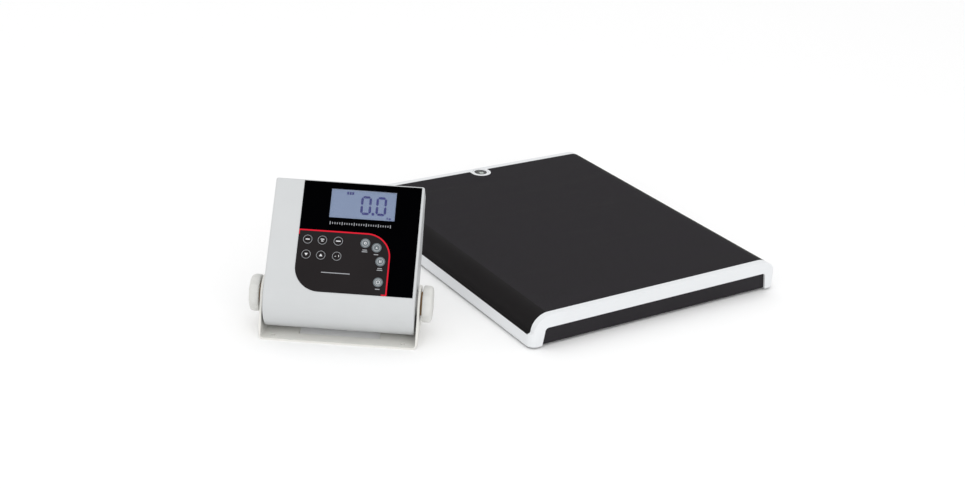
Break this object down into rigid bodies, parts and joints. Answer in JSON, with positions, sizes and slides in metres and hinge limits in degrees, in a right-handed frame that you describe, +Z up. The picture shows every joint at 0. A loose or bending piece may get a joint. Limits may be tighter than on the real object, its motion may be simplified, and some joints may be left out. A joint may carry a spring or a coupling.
{
  "type": "animal weighing scale",
  "caption": "Low platform scale with a rubber mat and a bubble level, and a separate display unit with round keys that tilts on a U-shaped bracket between clamp knobs.",
  "frame": {"origin": "on the floor, under the centre of the whole scale as it stands with its display unit beside the platform", "axes": "+Z up, +X from the display unit towards the platform, +Y towards the platform end with the bubble level"},
  "size_m": [0.6495, 0.4328, 0.1624],
  "materials": {
    "cover_white": "moulded ABS, soft gloss",
    "mat_rubber": "fine ribbed black rubber",
    "vial_clear": "clear acrylic",
    "level_fluid": "pale clear fluid",
    "steel_plate": "zinc plated and dull",
    "panel_dark": "satin dark powder coat",
    "cell_aluminium": "machined",
    "screw_steel": "bright zinc",
    "board_green": "solder mask",
    "terminal_plastic": "moulded",
    "gland_black": "moulded nylon",
    "foot_rubber": "matt rubber",
    "bracket_white": "white powder coat",
    "housing_white": "fine textured ABS",
    "overlay_black": "printed polyester film",
    "lens_clear": "clear window",
    "lcd_glass": "lit display",
    "backlight_white": "diffuser",
    "battery_can": "printed steel can",
    "socket_metal": "nickel plated",
    "ring_rubber": "matt rubber",
    "insert_brass": "turned",
    "key_dark": "film with a printed ring",
    "key_grey": "grey film",
    "knob_white": "moulded nylon",
    "fibre_brown": "pressed fibre"
  },
  "bodies": {
    "platform": {"top_cover": "cover_white", "platform_mat": "mat_rubber", "level_vial": "vial_clear", "level_fluid": "level_fluid", "deck_plate": "steel_plate", "end_panel_front": "panel_dark", "end_panel_rear": "panel_dark", "load_cell_spacers": "steel_plate", "load_cell_screws": "screw_steel", "deck_screws": "screw_steel", "junction_board": "board_green", "terminal_blocks": "terminal_plastic", "cable_gland": "gland_black", "load_cell_front_left": "cell_aluminium", "load_cell_front_right": "cell_aluminium", "load_cell_rear_left": "cell_aluminium", "load_cell_rear_right": "cell_aluminium"},
    "bracket": {"bracket": "bracket_white"},
    "indicator": {"front_housing": "housing_white", "rear_housing": "housing_white", "housing_screws": "screw_steel", "face_overlay": "overlay_black", "lcd_lens": "lens_clear", "lcd_panel": "lcd_glass", "lcd_backlight": "backlight_white", "key_switches": "gland_black", "key_board": "board_green", "main_board": "board_green", "battery_tray": "gland_black", "batteries": "battery_can", "power_socket": "gland_black", "platform_socket": "socket_metal", "friction_rings": "ring_rubber", "pivot_inserts": "insert_brass"},
    "battery_door": {"battery_door": "housing_white"},
    "foot_pad_front_left": {"foot_pad_front_left": "foot_rubber"},
    "foot_front_left": {"foot_stud_front_left": "screw_steel"},
    "foot_pad_front_right": {"foot_pad_front_right": "foot_rubber"},
    "foot_front_right": {"foot_stud_front_right": "screw_steel"},
    "foot_pad_rear_left": {"foot_pad_rear_left": "foot_rubber"},
    "foot_rear_left": {"foot_stud_rear_left": "screw_steel"},
    "foot_pad_rear_right": {"foot_pad_rear_right": "foot_rubber"},
    "foot_rear_right": {"foot_stud_rear_right": "screw_steel"},
    "ring_key_1": {"ring_key_1": "key_dark"},
    "ring_key_2": {"ring_key_2": "key_dark"},
    "ring_key_3": {"ring_key_3": "key_dark"},
    "down_key": {"down_key": "key_dark"},
    "up_key": {"up_key": "key_dark"},
    "enter_key": {"enter_key": "key_dark"},
    "disc_key_1": {"disc_key_1": "key_grey"},
    "disc_key_2": {"disc_key_2": "key_grey"},
    "disc_key_3": {"disc_key_3": "key_grey"},
    "power_key": {"power_key": "key_grey"},
    "knob_washer_left": {"knob_washer_left": "fibre_brown"},
    "knob_left": {"knob_left": "knob_white", "knob_stud_left": "screw_steel"},
    "knob_washer_right": {"knob_washer_right": "fibre_brown"},
    "knob_right": {"knob_right": "knob_white", "knob_stud_right": "screw_steel"}
  },
  "joints": [
    {"name": "indicator_lift", "type": "slide", "parent": "platform", "child": "bracket", "axis": [0, 0, 1], "range_m": [0, 0.25]},
    {"name": "indicator_tilt", "type": "hinge", "parent": "bracket", "child": "indicator", "pos_m": [-0.2257, -0.07048, 0.0415], "axis": [-0.8202, 0.5721, 0], "range_deg": [-60, 35]},
    {"name": "battery_door_lift", "type": "slide", "parent": "indicator", "child": "battery_door", "axis": [0.5286, 0.7578, -0.3826], "range_m": [0, 0.008]},
    {"name": "knob_slide_left", "type": "slide", "parent": "indicator", "child": "knob_washer_left", "axis": [-0.8202, 0.5721, 0], "range_m": [0, 0.003]},
    {"name": "knob_turn_left", "type": "hinge", "parent": "knob_washer_left", "child": "knob_left", "pos_m": [-0.2257, -0.07048, 0.0415], "axis": [-0.8202, 0.5721, 0], "range_deg": [0, 1081]},
    {"name": "knob_slide_right", "type": "slide", "parent": "indicator", "child": "knob_washer_right", "axis": [0.8202, -0.5721, 0], "range_m": [0, 0.003]},
    {"name": "knob_turn_right", "type": "hinge", "parent": "knob_washer_right", "child": "knob_right", "pos_m": [-0.2257, -0.07048, 0.0415], "axis": [0.8202, -0.5721, 0], "range_deg": [0, 1081]},
    {"name": "foot_slide_front_left", "type": "slide", "parent": "platform", "child": "foot_pad_front_left", "axis": [0, 0, -1], "range_m": [0, 0.0076]},
    {"name": "foot_turn_front_left", "type": "hinge", "parent": "foot_pad_front_left", "child": "foot_front_left", "pos_m": [-0.01247, -0.19, 0], "axis": [0, 0, -1], "range_deg": [0, 2160]},
    {"name": "foot_slide_front_right", "type": "slide", "parent": "platform", "child": "foot_pad_front_right", "axis": [0, 0, -1], "range_m": [0, 0.0076]},
    {"name": "foot_turn_front_right", "type": "hinge", "parent": "foot_pad_front_right", "child": "foot_front_right", "pos_m": [0.28353, -0.19, 0], "axis": [0, 0, -1], "range_deg": [0, 2160]},
    {"name": "foot_slide_rear_left", "type": "slide", "parent": "platform", "child": "foot_pad_rear_left", "axis": [0, 0, -1], "range_m": [0, 0.0076]},
    {"name": "foot_turn_rear_left", "type": "hinge", "parent": "foot_pad_rear_left", "child": "foot_rear_left", "pos_m": [-0.01247, 0.19, 0], "axis": [0, 0, -1], "range_deg": [0, 2160]},
    {"name": "foot_slide_rear_right", "type": "slide", "parent": "platform", "child": "foot_pad_rear_right", "axis": [0, 0, -1], "range_m": [0, 0.0076]},
    {"name": "foot_turn_rear_right", "type": "hinge", "parent": "foot_pad_rear_right", "child": "foot_rear_right", "pos_m": [0.28353, 0.19, 0], "axis": [0, 0, -1], "range_deg": [0, 2160]},
    {"name": "ring_key_1_press", "type": "slide", "parent": "indicator", "child": "ring_key_1", "axis": [0.4252, 0.6095, -0.6691], "range_m": [0, 0.0005], "stiffness_N_per_m": 2500, "springref_m": -0.0002},
    {"name": "ring_key_2_press", "type": "slide", "parent": "indicator", "child": "ring_key_2", "axis": [0.4252, 0.6095, -0.6691], "range_m": [0, 0.0005], "stiffness_N_per_m": 2500, "springref_m": -0.0002},
    {"name": "ring_key_3_press", "type": "slide", "parent": "indicator", "child": "ring_key_3", "axis": [0.4252, 0.6095, -0.6691], "range_m": [0, 0.0005], "stiffness_N_per_m": 2500, "springref_m": -0.0002},
    {"name": "down_key_press", "type": "slide", "parent": "indicator", "child": "down_key", "axis": [0.4252, 0.6095, -0.6691], "range_m": [0, 0.0005], "stiffness_N_per_m": 2500, "springref_m": -0.0002},
    {"name": "up_key_press", "type": "slide", "parent": "indicator", "child": "up_key", "axis": [0.4252, 0.6095, -0.6691], "range_m": [0, 0.0005], "stiffness_N_per_m": 2500, "springref_m": -0.0002},
    {"name": "enter_key_press", "type": "slide", "parent": "indicator", "child": "enter_key", "axis": [0.4252, 0.6095, -0.6691], "range_m": [0, 0.0005], "stiffness_N_per_m": 2500, "springref_m": -0.0002},
    {"name": "disc_key_1_press", "type": "slide", "parent": "indicator", "child": "disc_key_1", "axis": [0.4252, 0.6095, -0.6691], "range_m": [0, 0.0005], "stiffness_N_per_m": 2500, "springref_m": -0.0002},
    {"name": "disc_key_2_press", "type": "slide", "parent": "indicator", "child": "disc_key_2", "axis": [0.4252, 0.6095, -0.6691], "range_m": [0, 0.0005], "stiffness_N_per_m": 2500, "springref_m": -0.0002},
    {"name": "disc_key_3_press", "type": "slide", "parent": "indicator", "child": "disc_key_3", "axis": [0.4252, 0.6095, -0.6691], "range_m": [0, 0.0005], "stiffness_N_per_m": 2500, "springref_m": -0.0002},
    {"name": "power_key_press", "type": "slide", "parent": "indicator", "child": "power_key", "axis": [0.4252, 0.6095, -0.6691], "range_m": [0, 0.0005], "stiffness_N_per_m": 2500, "springref_m": -0.0002}
  ],
  "couplings": [
    {"joint": "knob_turn_left", "follows": "knob_slide_left", "rad_per_m": 6283.2},
    {"joint": "knob_turn_right", "follows": "knob_slide_right", "rad_per_m": 6283.2},
    {"joint": "foot_slide_front_left", "follows": "foot_turn_front_left", "m_per_rad": 0.00019894},
    {"joint": "foot_slide_front_right", "follows": "foot_turn_front_right", "m_per_rad": 0.00019894},
    {"joint": "foot_slide_rear_left", "follows": "foot_turn_rear_left", "m_per_rad": 0.00019894},
    {"joint": "foot_slide_rear_right", "follows": "foot_turn_rear_right", "m_per_rad": 0.00019894}
  ]
}
